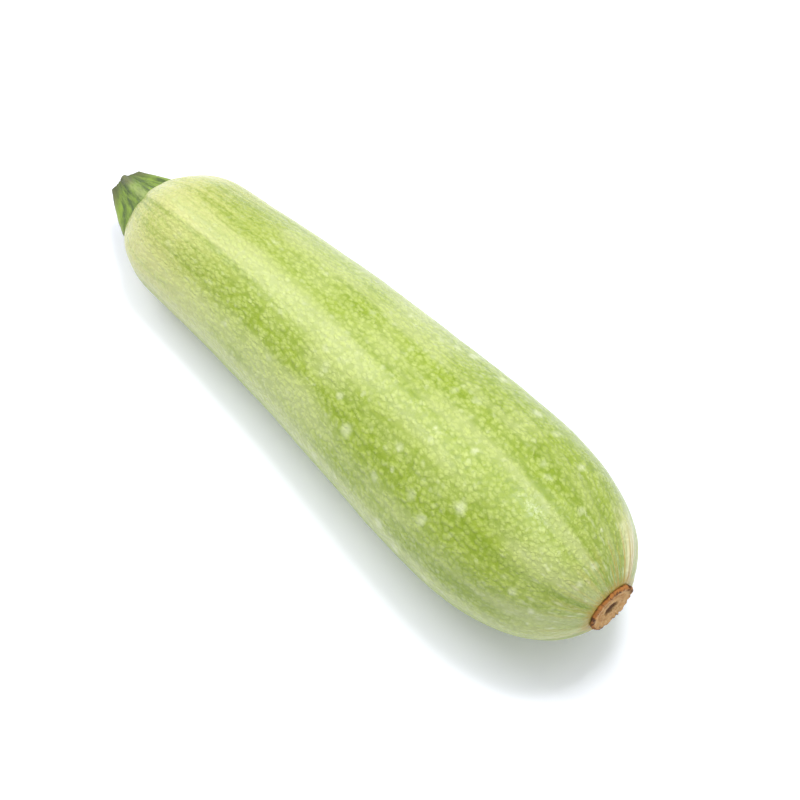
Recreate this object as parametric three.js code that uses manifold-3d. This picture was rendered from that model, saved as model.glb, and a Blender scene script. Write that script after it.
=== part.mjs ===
// Pale-green zucchini lying on its side: the fruit, the ridged stump of its stem and the dry
// scar its flower left. Millimetres, +Z up. +X runs along the fruit from stem to blossom end.
import * as THREE from 'three';
import Module from 'manifold-3d';

// Fruit: a straight taper that levels off into a belly, closed by a round shoulder at the stem
// and a blunter nose at the blossom end
const FRUIT_LENGTH = 200;
const NECK_RADIUS = 19.3; // of the taper carried back to the stem end
const BELLY_RADIUS = 30.9;
const BELLY_START = 141; // distance from the stem end where the taper levels off
const BELLY_BLEND = 1.5; // softness of the change from taper to belly
const SHOULDER_LENGTH = 21.5;
const NOSE_LENGTH = 64;
const NOSE_POWER = 3.2; // above 2 keeps the belly full before the nose turns in
const BOW = 2.5; // sideways bend of the middle, towards +Y
const BOW_SKEW = 1; // moves the bend towards the stem end

// Ribs: five main ones with a weaker one between each pair, strongest near both ends
const RIB_COUNT = 5;
const RIB_MAIN = 0.003; // share of the radius, along the middle
const RIB_MINOR = 0.002;
const RIB_SHOULDER_GAIN = 6;
const RIB_NOSE_GAIN = 8;
const RIB_FADE_LENGTH = 22; // how far the stronger ribs reach in from each end
const RIB_TWIST = 0.35; // radians over the full length
const RIB_PHASE = 0.4;

// Flat seats that the stem and the scar stand on, and the strip the fruit rests on
const STEM_SEAT_RADIUS = 11.8;
const SCAR_SEAT_RADIUS = 8.6;
const REST_DEPTH = 0.7; // height of the slice taken off the underside
const GAP = 0.3; // air between neighbouring pieces

// Stem stump
const STEM_HEIGHT = 13.6;
const STEM_BASE_RADIUS = 11.2;
const STEM_CUT_RADIUS = 4.3;
const STEM_FLARE_POWER = 1; // above 1 hollows the flank of the flare
const STEM_RIDGE_FOOT = 0.05; // share of the radius
const STEM_RIDGE_CUT = 0.15;
const STEM_RIDGE_PHASE = 0.5;
const STEM_OFFSET_Y = -1.2; // the whole stem sits a little off the centre of its seat
const STEM_OFFSET_Z = -0.5;
const STEM_LEAN_Y = 1.4; // sideways shift of the cut end
const STEM_LEAN_Z = -0.6;
const STEM_CUT_SLOPE = 0.15; // height lost per millimetre across the cut face
const STEM_SLOPE_POWER = 4; // keeps the slope near the cut
const STEM_CUT_DISH = 0.5;

// Blossom scar
const SCAR_RADIUS = 7.9;
const SCAR_HEIGHT = 1.4;
const SCAR_RAGGED = 0.05; // share of the radius
const SCAR_LOBES = 5;
const SCAR_LOBE_HEIGHT = 0.7; // share of the raggedness
const SCAR_TEETH = 11;
const SCAR_TOOTH_HEIGHT = 0.5;
const SCAR_WAVES = 7; // up and down along the rim
const SCAR_WAVE_HEIGHT = 0.15; // share of the scar's height
// Section of the scar from its back edge over the rim to the edge and bottom of the pit, as
// shares of its radius and height
const SCAR_SECTION = [
  [0.97, 0], [1, 0.45], [0.95, 0.9], [0.88, 1], [0.8, 0.82], [0.55, 0.62], [0.2, 0.6], [0.14, 0.3],
];
const SCAR_PIT_BOTTOM = 0.25;

// Mesh fineness
const FRUIT_RINGS = 46;
const FRUIT_SIDES = 80;
const STEM_RINGS = 10;
const STEM_RING_CROWDING = 1.6; // above 1 puts more of the rings near the foot
const STEM_SIDES = 40;
const SCAR_SIDES = 40;
const SEARCH_STEPS = 50; // halvings that find where the seats lie

const TAPER_SLOPE = (BELLY_RADIUS - NECK_RADIUS) / BELLY_START;

// Radius of the smooth fruit, without ribs, at distance x from the stem end.
function fruitRadius(x) {
  const taper = NECK_RADIUS + TAPER_SLOPE * x;
  const blend = Math.hypot(taper - BELLY_RADIUS, BELLY_BLEND);
  const body = 0.5 * (taper + BELLY_RADIUS - blend);
  const intoShoulder = Math.max(0, 1 - x / SHOULDER_LENGTH);
  const intoNose = Math.max(0, (x - (FRUIT_LENGTH - NOSE_LENGTH)) / NOSE_LENGTH);
  return body * Math.sqrt(1 - intoShoulder ** 2) * Math.sqrt(1 - intoNose ** NOSE_POWER);
}

// Distance x at which the smooth fruit has a given radius, between its thin and its thick end.
function findRadius(radius, thin, thick) {
  let below = thin;
  let above = thick;
  for (let step = 0; step < SEARCH_STEPS; step += 1) {
    const middle = 0.5 * (below + above);
    if (fruitRadius(middle) < radius) below = middle;
    else above = middle;
  }
  return above;
}

const STEM_SEAT = findRadius(STEM_SEAT_RADIUS, 0, SHOULDER_LENGTH);
const SCAR_SEAT = findRadius(SCAR_SEAT_RADIUS, FRUIT_LENGTH, FRUIT_LENGTH - NOSE_LENGTH);

// Relative height of the ribs at distance x and angle a round the fruit.
function ribHeight(x, a) {
  const atShoulder = Math.exp(-((x / RIB_FADE_LENGTH) ** 2));
  const atNose = Math.exp(-(((FRUIT_LENGTH - x) / RIB_FADE_LENGTH) ** 2));
  const gain = 1 + RIB_SHOULDER_GAIN * atShoulder + RIB_NOSE_GAIN * atNose;
  const phase = RIB_COUNT * (a - RIB_PHASE - RIB_TWIST * (x / FRUIT_LENGTH));
  return gain * (RIB_MAIN * Math.cos(phase) + RIB_MINOR * Math.cos(2 * phase));
}

// Centre of the fruit's section at x: level underside and a gentle bow to the side.
function fruitCentre(x) {
  const t = (Math.PI * x) / FRUIT_LENGTH;
  const y = BOW * Math.sin(t) + BOW_SKEW * Math.sin(2 * t);
  return new THREE.Vector3(x, y, NECK_RADIUS + TAPER_SLOPE * x - REST_DEPTH);
}

// Ring of points across the X axis; place(a) gives the radius and any shift along X at angle a.
function ring(centre, sides, place) {
  return Array.from({ length: sides }, (_, side) => {
    const a = (2 * Math.PI * side) / sides;
    const { radius, shift = 0 } = place(a);
    const offset = new THREE.Vector3(shift, radius * Math.cos(a), radius * Math.sin(a));
    return offset.add(centre);
  });
}

// Closed surface through rings listed towards +X, with a centre point closing each end.
function skin(rings, firstCentre, lastCentre) {
  const sides = rings[0].length;
  const points = [firstCentre, ...rings.flat(), lastCentre];
  const at = (row, side) => 1 + row * sides + (side % sides);
  const index = [];
  for (let side = 0; side < sides; side += 1) {
    index.push(0, at(0, side + 1), at(0, side));
    for (let row = 0; row + 1 < rings.length; row += 1) {
      const [a, b] = [at(row, side), at(row, side + 1)];
      const [c, d] = [at(row + 1, side), at(row + 1, side + 1)];
      index.push(a, b, d, a, d, c);
    }
    index.push(points.length - 1, at(rings.length - 1, side), at(rings.length - 1, side + 1));
  }
  const geometry = new THREE.BufferGeometry().setFromPoints(points);
  geometry.setIndex(index);
  return geometry;
}

const wasm = await Module();
wasm.setup();

function toManifold(geometry) {
  const vertProperties = Float32Array.from(geometry.attributes.position.array);
  const triVerts = Uint32Array.from(geometry.index.array);
  return new wasm.Manifold(new wasm.Mesh({ numProp: 3, vertProperties, triVerts }));
}

function fromManifold(solid) {
  const mesh = solid.getMesh();
  const position = new THREE.BufferAttribute(Float32Array.from(mesh.vertProperties), 3);
  const geometry = new THREE.BufferGeometry().setAttribute('position', position);
  geometry.setIndex(Array.from(mesh.triVerts));
  return geometry;
}

// Block that fills everything below z = 0 under the fruit.
function blockBelow() {
  const reach = FRUIT_LENGTH;
  const corners = [[-reach, -reach], [reach, -reach], [reach, 0], [-reach, 0]];
  const end = (x) => corners.map(([y, z]) => new THREE.Vector3(x, y, z));
  const middle = (x) => new THREE.Vector3(x, 0, -0.5 * reach);
  return skin([end(-reach), end(2 * reach)], middle(-reach), middle(2 * reach));
}

function buildFruit() {
  const rings = Array.from({ length: FRUIT_RINGS }, (_, row) => {
    const t = 0.5 - 0.5 * Math.cos((Math.PI * row) / (FRUIT_RINGS - 1)); // closer at the ends
    const x = STEM_SEAT + t * (SCAR_SEAT - STEM_SEAT);
    const place = (a) => ({ radius: fruitRadius(x) * (1 + ribHeight(x, a)) });
    return ring(fruitCentre(x), FRUIT_SIDES, place);
  });
  const whole = skin(rings, fruitCentre(STEM_SEAT), fruitCentre(SCAR_SEAT));
  return fromManifold(toManifold(whole).subtract(toManifold(blockBelow())));
}

function buildStem() {
  const offset = new THREE.Vector3(-GAP, STEM_OFFSET_Y, STEM_OFFSET_Z);
  const foot = fruitCentre(STEM_SEAT).add(offset);
  const centreAt = (t) =>
    new THREE.Vector3(-STEM_HEIGHT * t, STEM_LEAN_Y * t * t, STEM_LEAN_Z * t * t).add(foot);
  const rings = Array.from({ length: STEM_RINGS }, (_, row) => {
    const t = (1 - row / (STEM_RINGS - 1)) ** STEM_RING_CROWDING; // 1 at the cut, 0 at the foot
    const flare = (1 - t) ** STEM_FLARE_POWER;
    const round = STEM_CUT_RADIUS + (STEM_BASE_RADIUS - STEM_CUT_RADIUS) * flare;
    const ridge = STEM_RIDGE_FOOT + (STEM_RIDGE_CUT - STEM_RIDGE_FOOT) * Math.sqrt(t);
    return ring(centreAt(t), STEM_SIDES, (a) => {
      const radius = round * (1 + ridge * Math.cos(RIB_COUNT * (a - STEM_RIDGE_PHASE)));
      return { radius, shift: STEM_CUT_SLOPE * t ** STEM_SLOPE_POWER * radius * Math.cos(a) };
    });
  });
  const cutCentre = centreAt(1).add(new THREE.Vector3(STEM_CUT_DISH, 0, 0));
  return skin(rings, cutCentre, foot);
}

function buildScar() {
  const back = fruitCentre(SCAR_SEAT).add(new THREE.Vector3(GAP, 0, 0));
  const rings = SCAR_SECTION.map(([across, up]) =>
    ring(back, SCAR_SIDES, (a) => {
      const lobes = SCAR_LOBE_HEIGHT * Math.cos(SCAR_LOBES * a + 1);
      const teeth = SCAR_TOOTH_HEIGHT * Math.cos(SCAR_TEETH * a + 2);
      const radius = SCAR_RADIUS * across * (1 + SCAR_RAGGED * (lobes + teeth) * across);
      const waves = 1 + SCAR_WAVE_HEIGHT * Math.cos(SCAR_WAVES * a) * across;
      return { radius, shift: SCAR_HEIGHT * up * waves };
    }),
  );
  const pit = new THREE.Vector3(SCAR_HEIGHT * SCAR_PIT_BOTTOM, 0, 0).add(back);
  return skin(rings, back, pit);
}

function piece(name, geometry, color, roughness) {
  const flat = geometry.toNonIndexed();
  flat.computeVertexNormals();
  const material = new THREE.MeshStandardMaterial({ color, roughness, metalness: 0 });
  const mesh = new THREE.Mesh(flat, material);
  mesh.name = name;
  return mesh;
}

const group = new THREE.Group();
group.name = 'zucchini';
group.add(piece('fruit', buildFruit(), '#a9bd62', 0.45));
group.add(piece('stem', buildStem(), '#8a9a4c', 0.8));
group.add(piece('blossom_scar', buildScar(), '#c89d60', 0.85));

// Origin under the middle of the whole zucchini
const box = new THREE.Box3().setFromObject(group);
const middle = box.getCenter(new THREE.Vector3());
for (const mesh of group.children) mesh.geometry.translate(-middle.x, -middle.y, -box.min.z);

export default group;
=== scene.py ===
"""Pale-green zucchini on a plain pale floor: fruit, ridged stem stump and blossom scar."""

import math
from types import SimpleNamespace

import bmesh
import bpy
from bpy.props import FloatProperty, FloatVectorProperty, IntProperty, PointerProperty
from mathutils import Matrix, Vector, noise


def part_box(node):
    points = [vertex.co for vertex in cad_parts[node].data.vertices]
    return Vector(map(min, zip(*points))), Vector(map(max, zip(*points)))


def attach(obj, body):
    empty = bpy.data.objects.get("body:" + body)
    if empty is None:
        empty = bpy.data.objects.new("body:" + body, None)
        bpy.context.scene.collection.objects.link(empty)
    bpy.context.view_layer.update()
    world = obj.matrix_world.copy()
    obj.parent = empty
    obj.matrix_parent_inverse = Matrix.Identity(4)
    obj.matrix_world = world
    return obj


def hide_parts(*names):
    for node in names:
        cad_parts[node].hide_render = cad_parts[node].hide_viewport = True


bl_info = {
    "name": "Zucchini",
    "version": (1, 0, 0),
    "blender": (4, 5, 0),
    "location": "View3D > Sidebar > Zucchini",
    "description": "Grows a pale-green zucchini with its stem stump and blossom scar",
    "category": "Add Mesh",
}

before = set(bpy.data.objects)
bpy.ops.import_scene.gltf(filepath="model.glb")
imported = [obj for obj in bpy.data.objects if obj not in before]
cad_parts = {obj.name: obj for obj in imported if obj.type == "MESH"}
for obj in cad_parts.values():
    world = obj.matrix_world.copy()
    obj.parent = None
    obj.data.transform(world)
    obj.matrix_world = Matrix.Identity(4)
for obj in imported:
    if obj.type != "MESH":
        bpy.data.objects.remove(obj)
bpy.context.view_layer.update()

MM = 0.001


# ---------------------------------------------------------------- sums on sockets and numbers


class Term:
    """An output socket that ordinary arithmetic works on; each sum adds its Math node."""

    def __init__(self, bench, socket):
        self.bench = bench
        self.socket = socket

    def math(self, operation, *others):
        sockets = dict(enumerate((self, *others)))
        return self.bench.add("ShaderNodeMath", {"operation": operation}, sockets)

    def out(self, name):
        """Another output of the node this one comes from."""
        return Term(self.bench, self.socket.node.outputs[name])

    def __add__(self, other):
        return self.math("ADD", other)

    def __radd__(self, other):
        return self.math("ADD", other)

    def __mul__(self, other):
        return self.math("MULTIPLY", other)

    def __rmul__(self, other):
        return self.math("MULTIPLY", other)

    def __sub__(self, other):
        return self.math("SUBTRACT", other)

    def __rsub__(self, other):
        return (self * -1).math("ADD", other)

    def __truediv__(self, other):
        return self.math("DIVIDE", other)

    def __pow__(self, other):
        return self.math("POWER", other)

    def __neg__(self):
        return self * -1


def rgba(value):
    return (*value, 1.0)


class Bench:
    """Puts nodes into one tree, for materials and for Geometry Nodes alike."""

    def __init__(self, tree):
        self.tree = tree

    def add(self, kind, settings=None, sockets=None, output=None):
        """One node: its settings first, then values or links for its sockets."""
        node = self.tree.nodes.new(kind)
        for name, value in (settings or {}).items():
            setattr(node, name, value)
        for name, value in (sockets or {}).items():
            socket = self.find(node.inputs, name)
            if isinstance(value, Term):
                self.tree.links.new(value.socket, socket)
            else:
                socket.default_value = value
        if not node.outputs:
            return node
        return Term(self, self.find(node.outputs, 0 if output is None else output))

    @staticmethod
    def find(sockets, name):
        if isinstance(name, int):
            return sockets[name]
        for socket in sockets:
            if socket.name == name and socket.enabled:
                return socket
        raise KeyError(f"no socket {name}")

    def attribute(self, name, output):
        return self.add("ShaderNodeAttribute", {"attribute_name": name}, output=output)

    def split(self, vector):
        x = self.add("ShaderNodeSeparateXYZ", sockets={"Vector": vector})
        return x, x.out("Y"), x.out("Z")

    def join(self, x, y, z):
        return self.add("ShaderNodeCombineXYZ", sockets={"X": x, "Y": y, "Z": z})

    def vector(self, operation, a, b):
        return self.add("ShaderNodeVectorMath", {"operation": operation}, {0: a, 1: b})

    def noise(self, where, width, detail=2.0, roughness=0.5, output="Fac"):
        """Fractal noise whose largest clouds are about as wide as the given width."""
        sockets = {
            "Vector": where,
            "Scale": 1 / width,
            "Detail": detail,
            "Roughness": roughness,
        }
        return self.add("ShaderNodeTexNoise", {}, sockets, output)

    def cells(self, where, width):
        """Distance to the nearest of points scattered about one width apart."""
        return self.add("ShaderNodeTexVoronoi", {}, {"Vector": where, "Scale": 1 / width})

    def stretch(self, where, factor):
        """The place with its lengthwise part multiplied, so that marks on it grow longer."""
        return self.vector("MULTIPLY", where, (factor, 1.0, 1.0))

    def jitter(self, where, width, reach, detail):
        """A small push in every direction, changing over the given width."""
        colours = self.noise(where, width, detail=detail, output="Color")
        centred = self.vector("SUBTRACT", colours, (0.5, 0.5, 0.5))
        return self.vector("MULTIPLY", centred, (reach, reach, reach))

    def smooth(self, value, low, high, to_low=0.0, to_high=1.0):
        """Soft step from to_low to to_high as value goes from low to high."""
        sockets = {0: value, 1: low, 2: high, 3: to_low, 4: to_high}
        return self.add("ShaderNodeMapRange", {"interpolation_type": "SMOOTHSTEP"}, sockets)

    def blend(self, factor, a, b):
        """Colour a where the factor is 0, colour b where it is 1."""
        return self.add("ShaderNodeMix", {"data_type": "RGBA"}, {0: factor, 6: a, 7: b}, 2)

    def paint(self, base, amount, over):
        """The base colour with an amount of a plain colour laid over it."""
        return self.blend(amount, base, rgba(over))


def unary(operation, plain):
    """A function that works on a socket through a Math node and on a number directly."""

    def apply(value):
        return value.math(operation) if isinstance(value, Term) else plain(value)

    return apply


root = unary("SQRT", math.sqrt)
exp = unary("EXPONENT", math.exp)
sin = unary("SINE", math.sin)
cos = unary("COSINE", math.cos)


def bell(distance, reach):
    """1 at no distance, falling away over the reach to either side."""
    return exp(-((distance / reach) ** 2))


def at_least(value, floor):
    return value.math("MAXIMUM", floor) if isinstance(value, Term) else max(value, floor)


def at_most(value, ceiling):
    return value.math("MINIMUM", ceiling)


# ---------------------------------------------------------------- sizes and colours


def size(name, description, default):
    return FloatProperty(
        name=name,
        description=description,
        default=default,
        min=0.0,
        subtype="DISTANCE",
        unit="LENGTH",
        precision=5,
    )


def share(name, description, default):
    return FloatProperty(name=name, description=description, default=default, subtype="FACTOR")


def colour(name, description, default):
    """A colour property; the default is given as display values from 0 to 255."""
    return FloatVectorProperty(
        name=name,
        description=description,
        default=[linear(channel / 255) for channel in default],
        size=3,
        min=0.0,
        max=1.0,
        subtype="COLOR",
    )


def linear(channel):
    """A display value from 0 to 1 as a linear one."""
    if channel <= 0.04045:
        return channel / 12.92
    return ((channel + 0.055) / 1.055) ** 2.4


class FruitSettings(bpy.types.PropertyGroup):
    """Sizes of the fruit and colours of its skin."""

    length: size("Length", "Stem end to blossom end", 0.2)
    neck_radius: size("Neck Radius", "Radius of the taper carried back to the stem", 0.0193)
    belly_radius: size("Belly Radius", "Largest radius", 0.0309)
    belly_start: size("Belly Start", "Where the taper levels off", 0.141)
    belly_blend: size("Belly Blend", "Softness of the change to the belly", 0.0015)
    shoulder_length: size("Shoulder Length", "Length of the round stem end", 0.0215)
    nose_length: size("Nose Length", "Length of the blossom end's curve", 0.064)
    nose_power: FloatProperty(name="Nose Power", description="Fullness of the nose", default=3.2)
    bow: size("Bow", "Sideways bend of the middle", 0.0025)
    bow_skew: size("Bow Skew", "Shift of the bend towards the stem", 0.001)
    rest_depth: size("Rest Depth", "Height of the flattened underside", 0.0007)
    stem_seat: size("Stem Seat", "Radius of the seat under the stem", 0.0118)
    scar_seat: size("Scar Seat", "Radius of the seat under the scar", 0.0086)
    rib_main: share("Main Ribs", "Height of the five main ribs as a share", 0.003)
    rib_minor: share("Minor Ribs", "Height of the ribs between", 0.002)
    rib_fade: size("Rib Fade", "Reach of the stronger ribs from each end", 0.022)
    rib_twist: FloatProperty(name="Rib Twist", description="Turn along the fruit", default=0.35)
    lumps: size("Lumps", "Height of the gentle unevenness", 0.0004)
    puckers: size("Puckers", "Height of the puckers round the scar", 0.0004)
    sides: IntProperty(name="Sides", description="Points round the fruit", default=400)
    rings: IntProperty(name="Rings", description="Rings along the fruit", default=220)
    green: colour("Green", "Ground colour of the skin", (146, 166, 56))
    deep_green: colour("Deep Green", "Net between the flecks", (120, 143, 32))
    fleck: colour("Fleck", "Fine pale flecks", (188, 202, 116))
    bright_fleck: colour("Bright Fleck", "Larger flecks and blotches", (210, 217, 172))
    # Pale is also the colour of the painted highlight band on the rib crests
    pale: colour("Pale", "Pale streaks along the skin", (188, 196, 136))
    neck: colour("Neck", "Skin next to the stem", (210, 204, 142))
    blossom_cream: colour("Blossom Cream", "Ribs next to the scar", (224, 220, 170))
    blossom_gold: colour("Blossom Gold", "Lines next to the scar", (176, 150, 58))


class StemSettings(bpy.types.PropertyGroup):
    """Sizes and colours of the stem stump."""

    height: size("Height", "Foot to cut end", 0.0145)
    foot_radius: size("Foot Radius", "Radius where it meets the fruit", 0.0112)
    cut_radius: size("Cut Radius", "Radius at the cut", 0.0043)
    flare_power: FloatProperty(name="Flare", description="Hollow of the flank", default=1.0)
    ridge_foot: share("Foot Ridges", "Ridge height at the foot", 0.07)
    ridge_cut: share("Cut Ridges", "Ridge height at the cut", 0.17)
    lean: size("Lean", "Sideways shift of the cut end", 0.0014)
    off_centre: size("Off Centre", "Sideways shift of the whole stem", 0.0012)
    sides: IntProperty(name="Sides", description="Points round the stem", default=300)
    rings: IntProperty(name="Rings", description="Rings along the stem", default=120)
    ridge: colour("Ridge", "Crests of the ridges", (150, 166, 100))
    valley: colour("Valley", "Furrows between the ridges", (126, 152, 58))
    shade: colour("Shade", "Darker mottling", (78, 98, 50))
    dry: colour("Dry", "Dried edges", (86, 84, 62))
    pith: colour("Pith", "Cut face", (160, 152, 106))


class ScarSettings(bpy.types.PropertyGroup):
    """Sizes and colours of the blossom scar."""

    radius: size("Radius", "Mean radius of the rim", 0.0081)
    height: size("Height", "Rim above the fruit", 0.0014)
    ragged: share("Raggedness", "Unevenness of the rim", 0.09)
    sides: IntProperty(name="Sides", description="Points round the scar", default=260)
    cork: colour("Cork", "Dry face", (206, 162, 104))
    toast: colour("Toast", "Browner rim and ring", (160, 96, 34))
    burnt: colour("Burnt", "Dark spots on the rim", (82, 48, 18))
    straw: colour("Straw", "Pale fibres", (218, 184, 130))


class StageSettings(bpy.types.PropertyGroup):
    """Floor, lamps and camera."""

    floor_size: size("Floor Size", "Width of the floor", 12.0)
    floor_tone: colour("Floor Tone", "Floor colour", (240, 242, 252))
    floor_glow: share("Floor Glow", "Light of its own that lifts the shadow", 0.14)
    surround: share("Surround", "Strength of the white light from all sides", 0.44)
    camera_distance: size("Camera Distance", "Camera to the middle of the fruit", 0.969)
    camera_lens: FloatProperty(name="Lens", description="Focal length in mm", default=150.0)


# ---------------------------------------------------------------- the rule the fruit follows

RIBS = 5
RIB_PHASE = 0.4
SHOULDER_GAIN = 6.0
NOSE_GAIN = 8.0
SEARCH_STEPS = 50
WIDTH_STEPS = 201


def swell(s, x):
    """Radius of the fruit at x before its ends close."""
    taper = s.neck_radius + (s.belly_radius - s.neck_radius) / s.belly_start * x
    blend = root((taper - s.belly_radius) ** 2 + s.belly_blend**2)
    return (taper + s.belly_radius - blend) * 0.5


def closing(s, x):
    """Factor that closes the shoulder and the nose."""
    into_shoulder = at_least(1 - x / s.shoulder_length, 0)
    into_nose = at_least((x - s.length + s.nose_length) / s.nose_length, 0)
    shoulder = root(1 - into_shoulder**2)
    return shoulder * root(at_least(1 - into_nose**s.nose_power, 0))


def centre_line(s, x):
    """Sideways place and height of the middle of the fruit at x."""
    t = x / s.length * math.pi
    slope = (s.belly_radius - s.neck_radius) / s.belly_start
    return s.bow * sin(t) + s.bow_skew * sin(t * 2), s.neck_radius + slope * x - s.rest_depth


def rib_gain(s, x):
    """How many times stronger the ribs are at x than in the middle of the fruit."""
    at_shoulder = bell(x, s.rib_fade)
    at_nose = bell(x - s.length, s.rib_fade)
    return at_shoulder * SHOULDER_GAIN + at_nose * NOSE_GAIN + 1


def rib_height(s, phase):
    """Height of the ribs, as a share of the radius, at a phase of the turn round the fruit."""
    return cos(phase) * s.rib_main + cos(phase * 2) * s.rib_minor


def seat(s, radius, thin, thick):
    """Where the smooth fruit has a radius, between a thin place and a thick one."""
    for _ in range(SEARCH_STEPS):
        middle = (thin + thick) / 2
        if swell(s, middle) * closing(s, middle) < radius:
            thin = middle
        else:
            thick = middle
    return thick


def fruit_offset(s):
    """From the fruit's own axis, measured from its stem end, to the frame."""
    near = seat(s, s.stem_seat, 0.0, s.shoulder_length)
    lowest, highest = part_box("fruit")
    sides = []
    for step in range(WIDTH_STEPS):
        x = near + (s.length - near) * step / WIDTH_STEPS
        radius = swell(s, x) * closing(s, x)
        for direction in (0.0, math.pi):
            phase = (direction - RIB_PHASE - s.rib_twist * x / s.length) * RIBS
            reach = radius * (1 + rib_gain(s, x) * rib_height(s, phase))
            sides.append(centre_line(s, x)[0] + math.cos(direction) * reach)
    middle = (max(sides) + min(sides)) / 2
    return Vector((lowest[0] - near, (lowest[1] + highest[1]) / 2 - middle, 0.0))


# ---------------------------------------------------------------- growing meshes by rule

SOCKET_KINDS = {"FLOAT": "NodeSocketFloat", "INT": "NodeSocketInt"}
CAP_RINGS = 12


def size_tree(name, settings, extra):
    """Empty tree with a named input for each size, and the value that each one gets."""
    tree = bpy.data.node_groups.new(name, "GeometryNodeTree")
    face = tree.interface
    face.new_socket("Geometry", in_out="OUTPUT", socket_type="NodeSocketGeometry")
    values = {}
    keys = {}
    for prop in settings.bl_rna.properties:
        if prop.type in SOCKET_KINDS and not prop.is_array:
            socket = face.new_socket(
                prop.name, in_out="INPUT", socket_type=SOCKET_KINDS[prop.type]
            )
            values[socket.identifier] = getattr(settings, prop.identifier)
            keys[prop.identifier] = prop.name
    for key, value in extra.items():
        title = key.replace("_", " ").title()
        socket = face.new_socket(title, in_out="INPUT", socket_type="NodeSocketFloat")
        values[socket.identifier] = value
        keys[key] = title
    bench = Bench(tree)
    entry = tree.nodes.new("NodeGroupInput")
    terms = {key: Term(bench, entry.outputs[title]) for key, title in keys.items()}
    return bench, SimpleNamespace(**terms), values


def unit_tube(bench, s):
    """Closed tube of radius and height 1: its mesh, and its points' angle, reach and height."""
    sockets = {
        "Vertices": s.sides,
        "Side Segments": s.rings,
        "Fill Segments": CAP_RINGS,
        "Radius": 1.0,
        "Depth": 1.0,
    }
    tube = bench.add("GeometryNodeMeshCylinder", {"fill_type": "TRIANGLE_FAN"}, sockets)
    u, v, w = bench.split(bench.add("GeometryNodeInputPosition"))
    return tube, v.math("ARCTAN2", u), root(u * u + v * v), w + 0.5


def store(bench, mesh, name, value, kind="FLOAT"):
    """The mesh with a value kept on its points, for its finish to read."""
    settings = {"data_type": kind, "domain": "POINT"}
    sockets = {"Geometry": mesh, "Name": name, "Value": value}
    return bench.add("GeometryNodeStoreNamedAttribute", settings, sockets)


def finish_tree(bench, mesh, position, material):
    """Moves the points into place and ends the tree."""
    mesh = bench.add(
        "GeometryNodeSetPosition", sockets={"Geometry": mesh, "Position": position}
    )
    mesh = bench.add("GeometryNodeRealizeInstances", sockets={"Geometry": mesh})
    mesh = bench.add("GeometryNodeSetMaterial", sockets={"Geometry": mesh, "Material": material})
    bench.add("NodeGroupOutput", sockets={"Geometry": mesh})


def grow(name, tree, values, offset):
    """Object whose plain mesh is the tree's result, moved by an offset."""
    piece = bpy.data.objects.new(name, bpy.data.meshes.new(name))
    bpy.context.scene.collection.objects.link(piece)
    modifier = piece.modifiers.new("Grow", "NODES")
    modifier.node_group = tree
    for identifier, value in values.items():
        modifier[identifier] = value
    graph = bpy.context.evaluated_depsgraph_get()
    mesh = bpy.data.meshes.new_from_object(
        piece.evaluated_get(graph), preserve_all_data_layers=True, depsgraph=graph
    )
    piece.modifiers.clear()
    piece.data = mesh
    mesh.transform(Matrix.Translation(offset))
    mesh.shade_smooth()
    return piece


def claim(piece, node):
    """Makes the finished piece stand in for its node."""
    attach(piece, "root")
    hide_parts(node)


# The pattern on the skin is laid out round a straight tube. Over the closing ends it runs on by
# a share of what the radius has lost there.
PATTERN_RADIUS = 25 * MM
PATTERN_RUN = 0.7

# Unevenness of the skin, with widths given as so many to the metre
LUMP_WIDTH = 1 / 42
DIMPLE_WIDTH = 1 / 170
DIMPLE_SHARE = 0.35
WRINKLE_WIDTH = 1 / 240
WRINKLE_STRETCH = 0.12
SCAR_PUCKER_GAIN = 1.6
SCAR_PUCKER_REACH = 7 * MM
STEM_PUCKER_REACH = 9 * MM

# Roundness of the edge of the flattened underside, and how far the skin rises inside the stem's
# foot, as a share of the seat's own distance
FLOOR_SOFTNESS = 0.3 * MM
SHOULDER_RISE = 0.85

# Shares of the main and the minor ribs in the pattern's crests
MAIN_CREST = 0.6
MINOR_CREST = 0.4


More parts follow.
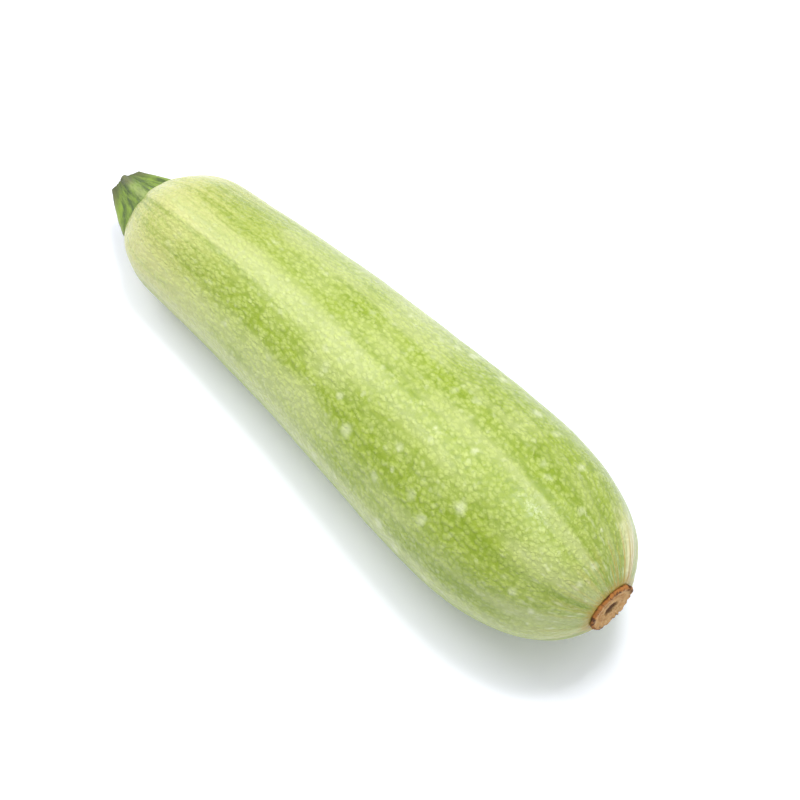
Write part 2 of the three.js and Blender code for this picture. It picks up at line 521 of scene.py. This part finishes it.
def fruit_tree(settings, material, near, far):
    """The fruit: a tapering, bowed and ribbed body with puckers round its blossom end."""
    extra = {"seat_start": near, "seat_end": far}
    bench, s, values = size_tree("Zucchini Fruit", settings, extra)
    tube, angle, reach, t = unit_tube(bench, s)
    x = s.seat_start + (1 - cos(t * math.pi)) * 0.5 * (s.seat_end - s.seat_start)
    full = swell(s, x)
    plain = full * closing(s, x) * reach
    turn = angle - s.rib_twist * x / s.length
    phase = (turn - RIB_PHASE) * RIBS

    side = (x - s.length * 0.5).math("SIGN")
    along = x + (full - plain) * side * PATTERN_RUN
    growth = bench.join(along, cos(turn) * PATTERN_RADIUS, sin(turn) * PATTERN_RADIUS)
    lumps = bench.noise(growth, LUMP_WIDTH) - 0.5
    dimples = bench.noise(growth, DIMPLE_WIDTH) - 0.5
    lines = bench.stretch(growth, WRINKLE_STRETCH)
    wrinkles = bench.noise(lines, WRINKLE_WIDTH, detail=3.0) - 0.5
    seat_line = s.seat_end + (s.belly_radius - s.scar_seat) * PATTERN_RUN
    near_scar = bell(seat_line - along, SCAR_PUCKER_REACH)
    near_stem = bell(along - s.seat_start, STEM_PUCKER_REACH)
    uneven = (lumps * 2 + dimples * DIMPLE_SHARE) * s.lumps
    puckered = wrinkles * s.puckers * 2 * (near_scar * SCAR_PUCKER_GAIN + near_stem)
    ribbed = plain * (1 + rib_height(s, phase) * rib_gain(s, x))
    radius = ribbed + (uneven + puckered) * reach

    middle_y, middle_z = centre_line(s, x)
    height = middle_z + radius * sin(angle)
    height = (height + root(height * height + FLOOR_SOFTNESS**2)) * 0.5
    stem_end = (1 - side) * 0.5
    x = x - stem_end * s.seat_start * SHOULDER_RISE * (1 - reach * reach)
    position = bench.join(x, middle_y + radius * cos(angle), height)
    crest = cos(phase) * MAIN_CREST + cos(phase * 2) * MINOR_CREST
    mesh = store(bench, tube, "growth", growth, "FLOAT_VECTOR")
    mesh = store(bench, mesh, "crest", crest)
    finish_tree(bench, mesh, position, material)
    return bench.tree, values


# How far the stem's foot stands inside the fruit, and the share of each sideways shift by which
# the stem is also lowered
STEM_SINK = 0.6 * MM
STEM_DROP = 0.4

# Its ridges: turn, sharpness, height of the crests and depth of the furrows
STEM_RIDGE_PHASE = 0.5
STEM_RIDGE_POWER = 2.6
STEM_CREST = 2.0
STEM_FURROW = 0.7

# Its grain: how far it runs along the stem and round it, then the widths of its fibres and
# swellings, as so many to the metre, and their heights as shares of the radius
STEM_GRAIN_LENGTH = 4 * MM
STEM_GRAIN_RADIUS = 8 * MM
STEM_FIBRE_WIDTH = 1 / 900
STEM_FIBRE_HEIGHT = 0.08
STEM_SWELLING_WIDTH = 1 / 260
STEM_SWELLING_HEIGHT = 0.14

# Its cut end: dished by drying, cut a little askew, and rough. Each fades away from the cut with
# a power of the height up the stem.
STEM_DISH_DEPTH = 0.9 * MM
STEM_DISH_POWER = 8
STEM_SLOPE = 0.15
STEM_SLOPE_POWER = 4
STEM_ROUGH_WIDTH = 1 / 700
STEM_ROUGH_HEIGHT = 0.8 * MM
STEM_ROUGH_POWER = 10


def stem_tree(settings, material, foot, fruit):
    """The stump: five ridges that flare on to the shoulder, cut across and dished by drying."""
    middle_y, middle_z = centre_line(fruit, foot)
    extra = {"foot_x": foot, "foot_y": middle_y, "foot_z": middle_z}
    bench, s, values = size_tree("Zucchini Stem", settings, extra)
    tube, angle, reach, t = unit_tube(bench, s)
    up = 1 - t
    grain = bench.join(
        t * STEM_GRAIN_LENGTH, cos(angle) * STEM_GRAIN_RADIUS, sin(angle) * STEM_GRAIN_RADIUS
    )
    plain = s.cut_radius + (s.foot_radius - s.cut_radius) * t**s.flare_power
    ridge = s.ridge_foot + (s.ridge_cut - s.ridge_foot) * root(up)
    crest = cos((angle - STEM_RIDGE_PHASE) * RIBS)
    sharp = (crest * 0.5 + 0.5) ** STEM_RIDGE_POWER * STEM_CREST - STEM_FURROW
    fibre = (bench.noise(grain, STEM_FIBRE_WIDTH, detail=4.0) - 0.5) * STEM_FIBRE_HEIGHT
    swelling = (bench.noise(grain, STEM_SWELLING_WIDTH) - 0.5) * STEM_SWELLING_HEIGHT
    radius = plain * (1 + sharp * ridge + fibre + swelling) * reach

    dish = (1 - reach**2) * up**STEM_DISH_POWER * STEM_DISH_DEPTH
    slope = radius * cos(angle) * STEM_SLOPE * up**STEM_SLOPE_POWER
    rough = bench.noise(grain, STEM_ROUGH_WIDTH) - 0.5
    rough = rough * up**STEM_ROUGH_POWER * STEM_ROUGH_HEIGHT * reach
    lean = s.lean * up**2
    x = s.foot_x - s.height * up + dish + slope + rough
    y = s.foot_y - s.off_centre + lean + radius * cos(angle)
    z = s.foot_z - (s.off_centre + lean) * STEM_DROP + radius * sin(angle)
    mesh = store(bench, tube, "grain", grain, "FLOAT_VECTOR")
    mesh = store(bench, mesh, "crest", crest)
    mesh = store(bench, mesh, "up", up)
    mesh = store(bench, mesh, "reach", reach)
    finish_tree(bench, mesh, bench.join(x, y, z), material)
    return bench.tree, values


# Section of the scar from under the skin over the rim and down to the pit, as shares of its
# radius and height
SCAR_SECTION = (
    (0.9, -0.5),
    (0.97, 0.0),
    (1.01, 0.3),
    (1.02, 0.6),
    (0.98, 0.88),
    (0.92, 1.0),
    (0.85, 0.95),
    (0.78, 0.78),
    (0.68, 0.6),
    (0.56, 0.52),
    (0.46, 0.66),
    (0.38, 0.7),
    (0.29, 0.56),
    (0.23, 0.3),
    (0.16, 0.14),
    (0.08, 0.1),
)
SCAR_FINENESS = 5

# Noise round the scar, from broad waves over jags to fine flakes: how fine each is, and a shift
# that gives each its own pattern
BROAD_FINENESS = 1.7
BROAD_SHIFT = Vector((3.1, 0.4, 0.0))
JAG_FINENESS = 6.0
JAG_SHIFT = Vector((0.0, 5.2, 1.0))
FLAKE_FINENESS = 13.0
FLAKE_SHIFT = Vector((0.0, 0.0, 7.0))
FLAKE_CURL = 2

# Shares of the waves, jags and flakes in how ragged the rim is and in how far it curls up
RAGGED_SHARES = (1.2, 0.5, 0.35)
CURLED_SHARES = (0.4, 0.35, 0.25)

# Cracks and roughness on the scar's face, with depths as shares of its height
CRACK_FINENESS = 7.5
CRACK_BEND = 0.8
CRACK_WIDTH = 0.22
CRACK_DEPTH = 0.28
FACE_FINENESS = 9.0
FACE_ROUGHNESS = 0.22


def section_points(section, fineness):
    """The section with its straight stretches cut into shorter ones, rounded by averaging."""
    fine = []
    for (r0, h0), (r1, h1) in zip(section, section[1:]):
        for step in range(fineness):
            part = step / fineness
            fine.append((r0 + (r1 - r0) * part, h0 + (h1 - h0) * part))
    fine.append(section[-1])
    for _ in range(fineness):
        inner = [
            ((a[0] + 2 * b[0] + c[0]) / 4, (a[1] + 2 * b[1] + c[1]) / 4)
            for a, b, c in zip(fine, fine[1:], fine[2:])
        ]
        fine = [fine[0], *inner, fine[-1]]
    return fine


def scar_point(s, across, up, angle):
    """Distance from the scar's middle, and height over its foot, of one point of its section."""
    around = Vector((math.cos(angle), math.sin(angle), 0.0))
    curl = Vector((across * FLAKE_CURL, 0.0, 0.0))
    layers = (
        noise.noise(around * BROAD_FINENESS + BROAD_SHIFT),
        noise.noise(around * JAG_FINENESS + JAG_SHIFT),
        noise.noise(around * FLAKE_FINENESS + FLAKE_SHIFT + curl),
    )
    ragged = sum(part * layer for part, layer in zip(RAGGED_SHARES, layers)) * across**2
    curled = sum(part * layer for part, layer in zip(CURLED_SHARES, layers)) * across**4

    bend = Vector((0.0, 0.0, across * CRACK_BEND))
    crack = abs(noise.noise(around * CRACK_FINENESS + bend))
    cracked = max(0.0, CRACK_WIDTH - crack) / CRACK_WIDTH * CRACK_DEPTH
    rough = noise.noise(around * across * FACE_FINENESS) * FACE_ROUGHNESS
    face = math.sin(math.pi * min(1.0, max(0.0, across)))
    radius = s.radius * across * (1 + s.ragged * ragged)
    return radius, s.height * (up * (1 + curled) + face * (rough - cracked))


def scar_mesh(s, base, middle_y, middle_z):
    """Ragged corky disc with a pit, radial cracks and curled flakes on its rim."""
    bm = bmesh.new()
    rim = bm.verts.layers.float.new("rim")
    rings = []
    for across, up in section_points(SCAR_SECTION, SCAR_FINENESS):
        ring = []
        for side in range(s.sides):
            angle = 2 * math.pi * side / s.sides
            radius, lift = scar_point(s, across, up, angle)
            y = middle_y + radius * math.cos(angle)
            z = middle_z + radius * math.sin(angle)
            vertex = bm.verts.new((base + lift, y, z))
            vertex[rim] = across
            ring.append(vertex)
        rings.append(ring)
    for inner, outer in zip(rings, rings[1:]):
        for side in range(s.sides):
            after = (side + 1) % s.sides
            bm.faces.new((inner[side], inner[after], outer[after], outer[side]))
    cap_ring(bm, rings[0], rim, rings[0][0][rim], -1)
    cap_ring(bm, rings[-1], rim, 0.0, 1)
    mesh = bpy.data.meshes.new("blossom_scar")
    bm.to_mesh(mesh)
    bm.free()
    return mesh


def cap_ring(bm, ring, rim, across, order):
    """Closes a ring with a fan of faces, whose order says which way they point."""
    hub = bm.verts.new(sum((v.co for v in ring), Vector()) / len(ring))
    hub[rim] = across
    for side, vertex in enumerate(ring):
        pair = (vertex, ring[(side + 1) % len(ring)])
        bm.faces.new((hub, *pair[::order]))


# ---------------------------------------------------------------- finishes


def new_finish(name):
    """An empty material, and the bench that its nodes are put in with."""
    material = bpy.data.materials.new(name)
    material.use_nodes = True
    material.node_tree.nodes.clear()
    return material, Bench(material.node_tree)


def dress(bench, fixed, varying):
    """Principled surface: fixed values on its own sockets, varying ones linked."""
    sockets = {**fixed, **varying}
    surface = bench.add("ShaderNodeBsdfPrincipled", sockets=sockets)
    bench.add("ShaderNodeOutputMaterial", sockets={"Surface": surface})


def bump(bench, height, distance, strength):
    """Normal of a surface that the height raises by up to the distance."""
    sockets = {"Height": height, "Distance": distance, "Strength": strength}
    return bench.add("ShaderNodeBump", sockets=sockets)


# Where along the fruit a change of its skin starts and where it is complete, as shares of its
# length. The pattern runs on past 1 over the blossom end.
NECK_ZONE = (0.34, 0.0)
NOSE_ZONE = (0.84, 1.02)
FURROW_ZONE = (0.7, 0.9)
# Pale rib crests with their painted highlight band fade from here towards the belly
CREST_AND_HIGHLIGHT_ZONE = (0.3, 0.75)
BLOTCH_ZONE = (0.35, 0.6)
RAY_ZONE = (0.96, 1.08)
GOLD_ZONE = (0.96, 1.04)
TIP_ZONE = (1.05, 1.075)

# Flecks: width of the cells, share of the cells that have one, and the smallest and largest
# radius as shares of the width
FINE_FLECKS = (2.2 * MM, 0.4, 0.28, 0.5)
MIDDLING_FLECKS = (4.2 * MM, 0.3, 0.18, 0.42)
BLOTCHES = (7.5 * MM, 0.6, 0.12, 0.38)
DRAWN_FLECKS = (1.8 * MM, 0.7, 0.25, 0.55)

# Widths of the net and of the clouds of noise
NET_WIDTH = 1.2 * MM
WIDE_NET_WIDTH = 2.6 * MM
LINE_WIDTH = 2.2 * MM
WIDE_LINE_WIDTH = 8 * MM
CLOUD_WIDTH = 1.3 * MM
DRIFT_WIDTH = 30 * MM
EDGE_WIDTH = 0.9 * MM
PORE_WIDTH = 0.35 * MM

# Lengthwise stretch: the smaller the number, the longer the mark
SHORT = 0.65
LONG = 0.3
STREAK = 0.035

# How far the marks stray from a regular pattern, over a wide and over a narrow width
WANDER_WIDTH = 6 * MM
WANDER_REACH = 1.8 * MM
TREMBLE_WIDTH = 0.9 * MM
TREMBLE_REACH = 1.0 * MM

# How fully each layer of colour covers the ones under it; a pair holds both ends of a change
FURROW_COVER = 0.9
PALE_LINE_COVER = 0.65
DARK_LINE_COVER = 0.2
# Pale rib crests with their painted highlight band: cover at the neck side, then at the belly
CREST_AND_HIGHLIGHT_COVER = (0.6, 0.12)
NOSE_COVER = 0.2
NECK_COVER = (0.2, 0.75)
NET_COVER = 0.7
WIDE_NET_COVER = 0.2
GAP_COVER = 0.15
FINE_COVER = 0.3
MIDDLING_COVER = 0.4
DRAWN_COVER = 0.7
BLOTCH_COVER = (0.1, 0.6)
RAY_COVER = 0.9
GOLD_COVER = 0.85

SKIN_RELIEF = 0.28 * MM


def skin_fields(bench, length):
    """What the layers of the skin share: places, lines and clouds, and the zones of the fruit."""
    growth = bench.attribute("growth", "Vector")
    crest = bench.attribute("crest", "Fac")
    along, side, _ = bench.split(growth)
    along = along / length
    wander = bench.jitter(growth, WANDER_WIDTH, WANDER_REACH, detail=3.0)
    tremble = bench.jitter(growth, TREMBLE_WIDTH, TREMBLE_REACH, detail=2.0)
    calm = bench.vector("ADD", growth, wander)
    place = bench.vector("ADD", calm, tremble)
    streak = bench.stretch(growth, STREAK)
    lines = bench.noise(streak, LINE_WIDTH, detail=4.0, roughness=0.6)
    wide_lines = bench.noise(streak, WIDE_LINE_WIDTH, detail=2.0)
    neck = bench.smooth(along, *NECK_ZONE)
    furrow = bench.smooth(crest + (lines - 0.5) * 0.8, -0.25, -0.75)
    return SimpleNamespace(
        growth=growth,
        crest=crest,
        along=along,
        side=side / PATTERN_RADIUS,
        calm=calm,
        place=place,
        lines=lines,
        wide_lines=wide_lines,
        cloud=bench.noise(place, CLOUD_WIDTH, detail=4.0, roughness=0.65),
        drift=bench.noise(growth, DRIFT_WIDTH, detail=2.0),
        neck=neck,
        nose=bench.smooth(along, *NOSE_ZONE),
        furrow=furrow * bench.smooth(along, *FURROW_ZONE),
        dark_lines=bench.smooth(wide_lines, 0.46, 0.3) * (1 - neck * 0.6),
    )


def skin_ground(bench, s, skin):
    """Green ground with darker furrows and lines, paler ribs that also carry a painted highlight
    band, and a pale neck.
    """
    wobble = skin.lines - 0.5
    ground = bench.smooth(skin.cloud * 0.4 + skin.lines * 0.6, 0.36, 0.62)
    base = bench.blend(ground, rgba(s.deep_green), rgba(s.green))
    base = bench.paint(base, skin.furrow * FURROW_COVER, s.deep_green)
    pale_lines = bench.smooth(skin.wide_lines * 0.6 + skin.drift * 0.4, 0.46, 0.62)
    base = bench.paint(base, pale_lines * PALE_LINE_COVER, s.pale)
    base = bench.paint(base, skin.dark_lines * DARK_LINE_COVER, s.deep_green)
    # Pale on the rib crests: partly their own paler colour, partly a painted highlight band,
    # strongest from the neck to the middle
    pale_crest_and_highlight = bench.smooth(skin.crest + wobble * 1.4, -0.1, 0.9)
    base = bench.paint(base, pale_crest_and_highlight * bench.smooth(skin.along, *CREST_AND_HIGHLIGHT_ZONE, *CREST_AND_HIGHLIGHT_COVER), s.pale)
    base = bench.paint(base, skin.nose * (1 - skin.furrow) * NOSE_COVER, s.pale)
    mixed = skin.drift * 0.3 + skin.cloud * 0.3 + skin.lines * 0.4
    return bench.paint(base, skin.neck * bench.smooth(mixed, 0.4, 0.56, *NECK_COVER), s.neck)


def skin_marks(bench, s, skin, base):
    """The net and the flecks on the ground; also gives the flecks and the net by themselves."""
    short = bench.stretch(skin.place, SHORT)
    long = bench.stretch(skin.place, LONG)
    edge = bench.noise(short, EDGE_WIDTH, detail=2.0) - 0.5

    def flecks(where, width, presence, smallest, largest):
        """Soft round spots, a share of the cells having one."""
        cells = bench.cells(where, width)
        lot, kind, _ = bench.split(cells.out("Color"))
        radius = smallest + (largest - smallest) * kind
        disc = bench.smooth(cells + edge * 0.12, radius, radius * 0.15)
        return disc * bench.smooth(lot, 1 - presence - 0.05, 1 - presence + 0.05)

    def pebbles(where, width):
        """Soft domes packed side by side, of uneven height."""
        cells = bench.cells(where, width)
        _, kind, _ = bench.split(cells.out("Color"))
        return bench.smooth(cells + edge * 0.25, 0.74, 0.16) * (0.55 + kind * 0.45)

    strength = bench.smooth(skin.drift, 0.3, 0.7, 0.7, 1.0) * (1 - skin.furrow * 0.6)
    strength = strength * (1 - skin.dark_lines * 0.2) * (1 - skin.neck * 0.35)
    net = pebbles(short, NET_WIDTH)
    wide_net = pebbles(short, WIDE_NET_WIDTH)
    base = bench.paint(base, (net * NET_COVER + wide_net * WIDE_NET_COVER) * strength, s.fleck)
    gaps = bench.smooth(net, 0.3, 0.0) * (1 - skin.nose * 0.4)
    base = bench.paint(base, gaps * GAP_COVER, s.deep_green)
    fine = flecks(short, *FINE_FLECKS) * FINE_COVER
    middling = flecks(short, *MIDDLING_FLECKS) * MIDDLING_COVER
    drawn = flecks(long, *DRAWN_FLECKS) * skin.nose * DRAWN_COVER
    marks = at_most(fine + middling + drawn, 1) * strength
    base = bench.paint(base, marks, s.bright_fleck)
    spread = bench.smooth(skin.along, *BLOTCH_ZONE, *BLOTCH_COVER)
    base = bench.paint(base, flecks(skin.calm, *BLOTCHES) * spread, s.bright_fleck)
    return base, marks, net + wide_net * 0.4


def skin_blossom_end(bench, s, skin, base):
    """Cream rays and gold lines round the scar, the skin's own colours, painted stronger on the
    lit side and fading towards the shaded side as painted light.
    """
    ridge = bench.smooth(skin.crest + (skin.lines - 0.5) * 1.6, -0.1, 0.7)
    # Painted light: rays and gold lines are strongest on the lit side of the fruit and weaker on
    # its shaded side
    lit_side = bench.smooth(skin.side, 0.1, 0.8, 0.25, 1.0)
    rays = bench.smooth(skin.along + lit_side * 0.05, *RAY_ZONE) * lit_side
    base = bench.paint(base, rays * ridge * RAY_COVER, s.blossom_cream)
    gold = bench.smooth(skin.along, *GOLD_ZONE) * bench.smooth(skin.lines, 0.5, 0.58) * lit_side
    tip = bench.smooth(skin.along + (skin.cloud - 0.5) * 0.03, *TIP_ZONE)
    return bench.paint(base, at_most((gold + tip) * GOLD_COVER, 1), s.blossom_gold)


def skin_finish(s):
    """Waxy skin: green net, pale flecks drawn out lengthwise, paler neck, rayed blossom end."""
    material, bench = new_finish("Zucchini Skin")
    skin = skin_fields(bench, s.length)
    base = skin_ground(bench, s, skin)
    base, marks, net = skin_marks(bench, s, skin, base)
    base = skin_blossom_end(bench, s, skin, base)
    pores = bench.noise(skin.growth, PORE_WIDTH, detail=2.0)
    relief = net + pores * 0.2 + skin.lines * 0.6
    fixed = {"IOR": 1.3, "Coat Roughness": 0.22, "Coat IOR": 1.45}
    varying = {
        "Base Color": base,
        "Roughness": bench.smooth(marks + pores * 0.5, 0.0, 1.2, 0.42, 0.56),
        "Coat Weight": bench.smooth(skin.cloud, 0.35, 0.65, 0.6, 0.08),
        "Normal": bump(bench, relief, SKIN_RELIEF, 0.8),
    }
    dress(bench, fixed, varying)
    return material


STALK_FIBRE_WIDTH = 0.55 * MM
STALK_MOTTLE_WIDTH = 1.4 * MM
STALK_PATCH_WIDTH = 3 * MM
STALK_LINE_COVER = 0.85
STALK_VEIN_COVER = 0.5
STALK_DRY_COVER = 0.75
STALK_RELIEF = 0.35 * MM


def stalk_finish(s):
    """Fibrous green stalk: pale crests, deep furrows, dry brown at the cut."""
    material, bench = new_finish("Zucchini Stalk")
    grain = bench.attribute("grain", "Vector")
    crest = bench.attribute("crest", "Fac")
    up = bench.attribute("up", "Fac")
    reach = bench.attribute("reach", "Fac")
    fibre = bench.noise(grain, STALK_FIBRE_WIDTH, detail=5.0, roughness=0.65)
    mottle = bench.noise(grain, STALK_MOTTLE_WIDTH, detail=4.0, roughness=0.6)
    patch = bench.noise(grain, STALK_PATCH_WIDTH, detail=3.0)
    base = bench.blend(bench.smooth(mottle, 0.35, 0.65), rgba(s.shade), rgba(s.valley))
    line = bench.smooth(crest + (fibre - 0.5) * 0.9, 0.7, 1.05)
    base = bench.paint(base, line * STALK_LINE_COVER, s.ridge)
    vein = bench.smooth(fibre, 0.56, 0.7)
    base = bench.paint(base, vein * STALK_VEIN_COVER, s.ridge)
    dryness = bench.smooth(up + (mottle - 0.5) * 0.8 + crest * 0.1, 0.6, 1.0)
    base = bench.paint(base, dryness * STALK_DRY_COVER, s.dry)
    face = bench.smooth(reach, 0.97, 0.9) * bench.smooth(up, 0.98, 1.0)
    base = bench.paint(base, face, s.pith)
    varying = {
        "Base Color": base,
        "Roughness": bench.smooth(fibre, 0.3, 0.7, 0.55, 0.8),
        "Normal": bump(bench, fibre * 0.7 + patch * 0.5, STALK_RELIEF, 0.8),
    }
    dress(bench, {"IOR": 1.4}, varying)
    return material


CORK_SPECK_WIDTH = 1.1 * MM
CORK_PATCH_WIDTH = 3.2 * MM
CORK_GRAIN_WIDTH = 0.4 * MM
CORK_BAND_COVER = 0.85
CORK_RING_COVER = 0.35
CORK_PIT_COVER = 0.9
CORK_RELIEF = 0.4 * MM


def cork_finish(s):
    """Dry cork: tan face with pale fibres and dark burnt spots along the rim."""
    material, bench = new_finish("Zucchini Cork")
    place = bench.add("ShaderNodeTexCoord", output="Object")
    rim = bench.attribute("rim", "Fac")
    speck = bench.noise(place, CORK_SPECK_WIDTH, detail=4.0, roughness=0.7)
    patch = bench.noise(place, CORK_PATCH_WIDTH, detail=3.0)
    grain = bench.noise(place, CORK_GRAIN_WIDTH, detail=3.0)
    wobble = speck - 0.5
    burnt = bench.smooth(patch * 0.7 + speck * 0.8, 0.72, 0.84) * bench.smooth(rim, 0.72, 0.98)
    pit = bench.smooth(rim + wobble * 0.2, 0.36, 0.2)
    band = bench.smooth(rim + wobble * 0.3, 0.82, 0.98)
    ring = bench.smooth(rim + wobble * 0.2, 0.7, 0.6) * bench.smooth(rim, 0.46, 0.56)
    base = bench.blend(bench.smooth(speck, 0.4, 0.65), rgba(s.cork), rgba(s.straw))
    toasted = at_most(band * CORK_BAND_COVER + ring * CORK_RING_COVER, 1)
    base = bench.paint(base, toasted, s.toast)
    base = bench.paint(base, at_most(burnt + pit * CORK_PIT_COVER, 1), s.burnt)
    varying = {
        "Base Color": base,
        "Roughness": bench.smooth(grain, 0.3, 0.7, 0.7, 0.92),
        "Normal": bump(bench, speck * 0.7 + grain * 0.3, CORK_RELIEF, 0.9),
    }
    dress(bench, {"IOR": 1.4}, varying)
    return material


FLOOR_CLOUD_WIDTH = 1 / 3
FLOOR_CLOUD_COVER = (0.0, 0.03)
FLOOR_CLOUD_TONE = (0.9, 0.9, 0.9)


def floor_finish(s):
    """Matt, almost even white with faint clouds."""
    material, bench = new_finish("Floor")
    place = bench.add("ShaderNodeTexCoord", output="Object")
    clouds = bench.noise(place, FLOOR_CLOUD_WIDTH)
    cover = bench.smooth(clouds, 0.3, 0.7, *FLOOR_CLOUD_COVER)
    base = bench.blend(cover, rgba(s.floor_tone), rgba(FLOOR_CLOUD_TONE))
    fixed = {"Roughness": 0.9, "Specular IOR Level": 0.1, "Emission Strength": s.floor_glow}
    dress(bench, fixed, {"Base Color": base, "Emission Color": base})
    return material


# ---------------------------------------------------------------- operators


class ZUCCHINI_OT_fruit(bpy.types.Operator):
    """Grow the fruit"""

    bl_idname = "zucchini.fruit"
    bl_label = "Grow Fruit"

    def execute(self, context):
        s = context.scene.zucchini_fruit
        near = seat(s, s.stem_seat, 0.0, s.shoulder_length)
        far = seat(s, s.scar_seat, s.length, s.length - s.nose_length)
        tree, values = fruit_tree(s, skin_finish(s), near, far)
        claim(grow("zucchini_fruit", tree, values, fruit_offset(s)), "fruit")
        return {"FINISHED"}


class ZUCCHINI_OT_stem(bpy.types.Operator):
    """Grow the ridged stem stump on the fruit's shoulder"""

    bl_idname = "zucchini.stem"
    bl_label = "Grow Stem"

    def execute(self, context):
        s = context.scene.zucchini_stem
        fruit = context.scene.zucchini_fruit
        foot = seat(fruit, fruit.stem_seat, 0.0, fruit.shoulder_length) + STEM_SINK
        tree, values = stem_tree(s, stalk_finish(s), foot, fruit)
        claim(grow("zucchini_stem", tree, values, fruit_offset(fruit)), "stem")
        return {"FINISHED"}


class ZUCCHINI_OT_scar(bpy.types.Operator):
    """Form the dry scar at the blossom end"""

    bl_idname = "zucchini.scar"
    bl_label = "Form Scar"

    def execute(self, context):
        s = context.scene.zucchini_scar
        fruit = context.scene.zucchini_fruit
        base = seat(fruit, fruit.scar_seat, fruit.length, fruit.length - fruit.nose_length)
        mesh = scar_mesh(s, base, *centre_line(fruit, base))
        piece = bpy.data.objects.new("zucchini_scar", mesh)
        context.scene.collection.objects.link(piece)
        mesh.transform(Matrix.Translation(fruit_offset(fruit)))
        mesh.shade_smooth()
        mesh.materials.append(cork_finish(s))
        claim(piece, "blossom_scar")
        return {"FINISHED"}


# Middle of the view on the fruit's own axes, and the direction the camera looks from
VIEW_MIDDLE = Vector((108.7 * MM, 4.2 * MM, 31.3 * MM))
VIEW_AZIMUTH = math.radians(46.7)
VIEW_ELEVATION = math.radians(60.8)

# Name: direction from the fruit, distance, width and power
LAMPS = {
    "Overhead Softbox": ((0.02, 0.16, 0.99), 1.1, 0.28, 6.0),
    "Ceiling Softbox": ((-0.02, 0.08, 1.0), 1.5, 1.6, 13.5),
    "Stem Side Softbox": ((-0.66, -0.1, 0.74), 1.2, 0.6, 5.0),
}


def towards(azimuth, elevation):
    """Unit vector that points away from the fruit, turned round it and raised over the floor."""
    across = math.cos(elevation)
    return Vector(
        (math.sin(azimuth) * across, -math.cos(azimuth) * across, math.sin(elevation))
    )


def soft_lamp(context, name, place, target, width, power):
    """Square lamp at a place, facing the target."""
    lamp = bpy.data.lights.new(name, "AREA")
    lamp.shape = "SQUARE"
    lamp.size = width
    lamp.energy = power
    holder = bpy.data.objects.new(name, lamp)
    holder.location = place
    holder.rotation_euler = (target - place).to_track_quat("-Z", "Y").to_euler()
    context.scene.collection.objects.link(holder)


class ZUCCHINI_OT_stage(bpy.types.Operator):
    """Set the floor, the soft lamps and the camera"""

    bl_idname = "zucchini.stage"
    bl_label = "Set Stage"

    def execute(self, context):
        s = context.scene.zucchini_stage
        middle = fruit_offset(context.scene.zucchini_fruit) + VIEW_MIDDLE
        self.lay_floor(context, s)
        for name, (direction, distance, width, power) in LAMPS.items():
            place = middle + Vector(direction).normalized() * distance
            soft_lamp(context, name, place, middle, width, power)
        world = bpy.data.worlds.new("Studio")
        world.use_nodes = True
        back = world.node_tree.nodes["Background"]
        back.inputs["Color"].default_value = (1.0, 1.0, 1.0, 1.0)
        back.inputs["Strength"].default_value = s.surround
        context.scene.world = world
        context.scene.view_settings.view_transform = "Standard"
        camera = bpy.data.objects.new("Camera", bpy.data.cameras.new("Camera"))
        camera.data.lens = s.camera_lens
        camera.data.clip_end = s.floor_size
        back_off = towards(VIEW_AZIMUTH, VIEW_ELEVATION)
        camera.location = middle + back_off * s.camera_distance
        camera.rotation_euler = (-back_off).to_track_quat("-Z", "Y").to_euler()
        context.scene.collection.objects.link(camera)
        context.scene.camera = camera
        return {"FINISHED"}

    @staticmethod
    def lay_floor(context, s):
        """One square face under the fruit."""
        half = s.floor_size / 2
        corners = [(-half, -half, 0), (half, -half, 0), (half, half, 0), (-half, half, 0)]
        mesh = bpy.data.meshes.new("floor")
        mesh.from_pydata(corners, [], [(0, 1, 2, 3)])
        mesh.materials.append(floor_finish(s))
        floor = bpy.data.objects.new("floor", mesh)
        context.scene.collection.objects.link(floor)


class ZUCCHINI_PT_panel(bpy.types.Panel):
    """The steps that make the zucchini, with their sizes and colours"""

    bl_idname = "ZUCCHINI_PT_panel"
    bl_label = "Zucchini"
    bl_space_type = "VIEW_3D"
    bl_region_type = "UI"
    bl_category = "Zucchini"

    def draw(self, context):
        for key, step in STEPS.items():
            box = self.layout.box()
            box.operator(step.bl_idname)
            settings = getattr(context.scene, f"zucchini_{key}")
            for prop in settings.bl_rna.properties:
                if prop.identifier not in ("rna_type", "name"):
                    box.prop(settings, prop.identifier)


STEPS = {
    "fruit": ZUCCHINI_OT_fruit,
    "stem": ZUCCHINI_OT_stem,
    "scar": ZUCCHINI_OT_scar,
    "stage": ZUCCHINI_OT_stage,
}
SETTINGS = {
    "fruit": FruitSettings,
    "stem": StemSettings,
    "scar": ScarSettings,
    "stage": StageSettings,
}
CLASSES = (*SETTINGS.values(), *STEPS.values(), ZUCCHINI_PT_panel)


def register():
    for cls in CLASSES:
        bpy.utils.register_class(cls)
    for key, group in SETTINGS.items():
        setattr(bpy.types.Scene, f"zucchini_{key}", PointerProperty(type=group))


def unregister():
    for key in SETTINGS:
        delattr(bpy.types.Scene, f"zucchini_{key}")
    for cls in reversed(CLASSES):
        bpy.utils.unregister_class(cls)


def main():
    register()
    bpy.ops.zucchini.fruit()
    bpy.ops.zucchini.stem()
    bpy.ops.zucchini.scar()
    bpy.ops.zucchini.stage()


if __name__ == "__main__":
    main()
